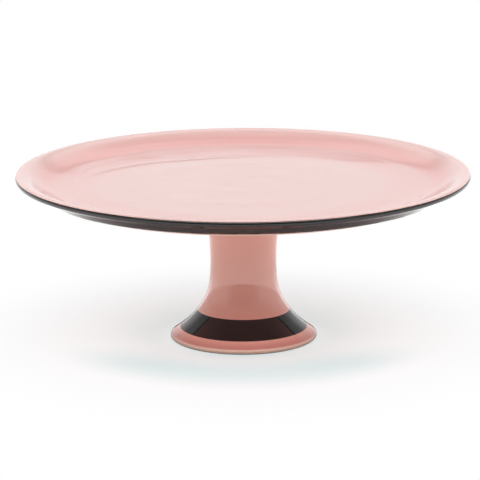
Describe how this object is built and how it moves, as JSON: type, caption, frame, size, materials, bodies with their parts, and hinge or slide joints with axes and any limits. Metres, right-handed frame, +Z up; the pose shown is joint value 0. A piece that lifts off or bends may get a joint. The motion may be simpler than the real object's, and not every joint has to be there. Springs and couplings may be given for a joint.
{
  "type": "cake stand",
  "caption": "Round footed cake stand: a shallow dished plate with a rounded lip, joined to a hollow pedestal that flares to a ring foot, in pink glaze with black bands.",
  "frame": {"origin": "centre of the ring that the foot stands on, on the table's surface", "axes": "+Z up along the stand's axis, through the middle of the foot, stem and plate; X and Y are alike, because the stand is round"},
  "size_m": [0.32, 0.32, 0.12],
  "materials": {
    "pink_glaze": "glossy coloured glaze on fired clay",
    "black_glaze": "glossy black glaze",
    "joining_slip": "fired joining slip under the same pink glaze"
  },
  "bodies": {
    "root": {"plate": "pink_glaze", "pedestal": "pink_glaze", "rim_glaze_band": "black_glaze", "foot_glaze_band": "black_glaze", "joint_slip": "joining_slip"}
  },
  "joints": []
}
